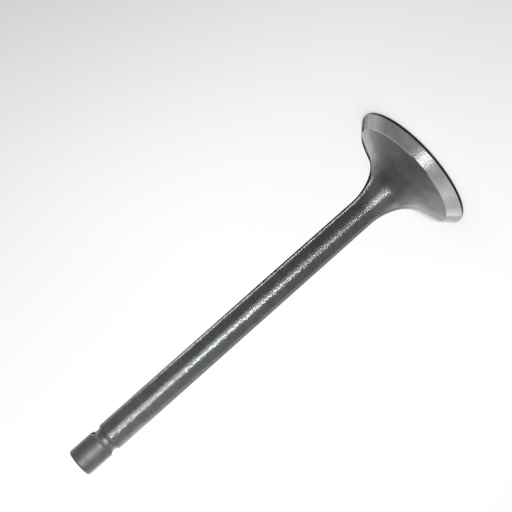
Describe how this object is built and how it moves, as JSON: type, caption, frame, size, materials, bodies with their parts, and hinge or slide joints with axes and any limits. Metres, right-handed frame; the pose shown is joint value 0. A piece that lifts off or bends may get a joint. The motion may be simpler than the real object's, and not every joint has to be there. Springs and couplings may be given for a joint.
{
  "type": "engine valve",
  "caption": "Poppet valve for a small engine: long round stem with a keeper groove near its tip, flaring through a tulip neck to a disc head with a conical seat face.",
  "frame": {"origin": "centre of the flat combustion face, on which the valve stands", "axes": "+Z along the stem, from the head towards the tip"},
  "size_m": [0.034, 0.034, 0.105],
  "materials": {
    "valve_steel": "dark satin, fine grain"
  },
  "bodies": {
    "root": {"valve": "valve_steel"}
  },
  "joints": []
}
